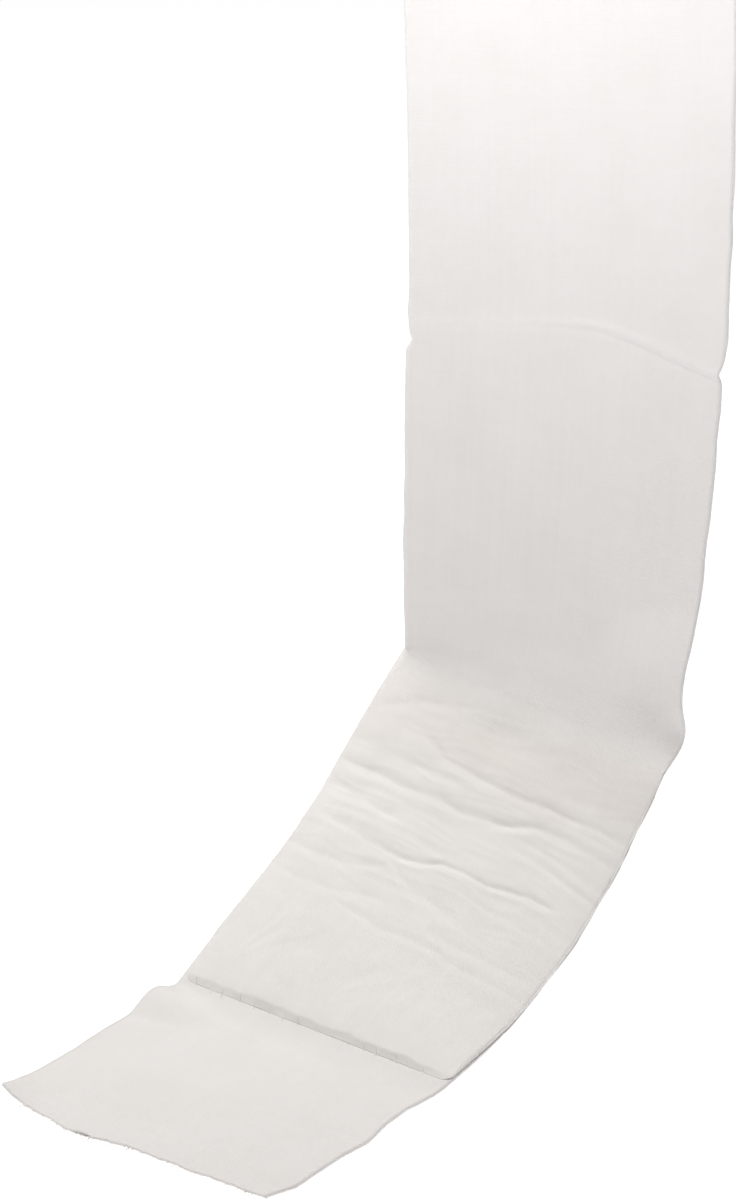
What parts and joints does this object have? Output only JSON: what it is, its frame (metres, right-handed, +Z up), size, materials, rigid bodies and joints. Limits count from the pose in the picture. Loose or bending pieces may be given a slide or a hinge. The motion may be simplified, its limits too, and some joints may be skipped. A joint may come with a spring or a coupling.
{
  "type": "first aid bandage",
  "caption": "Length of cotton gauze bandage with a sewn-on absorbent wound pad, hanging by its top edge with its tail lying flat.",
  "frame": {"origin": "middle of the bandage's top edge, on its back face, where it is held", "axes": "+Z up along the hanging length, +X across the bandage to the right as seen from its front, -Y the way the tail runs out along the surface"},
  "size_m": [0.0888, 0.1656, 0.2416],
  "materials": {
    "bandage_gauze": "fine plain-woven off-white cotton gauze, matt",
    "pad_gauze": "soft crinkled off-white cotton gauze over wadding, matt"
  },
  "bodies": {
    "root": {"gauze_bandage": "bandage_gauze", "wound_pad": "pad_gauze"}
  },
  "joints": []
}
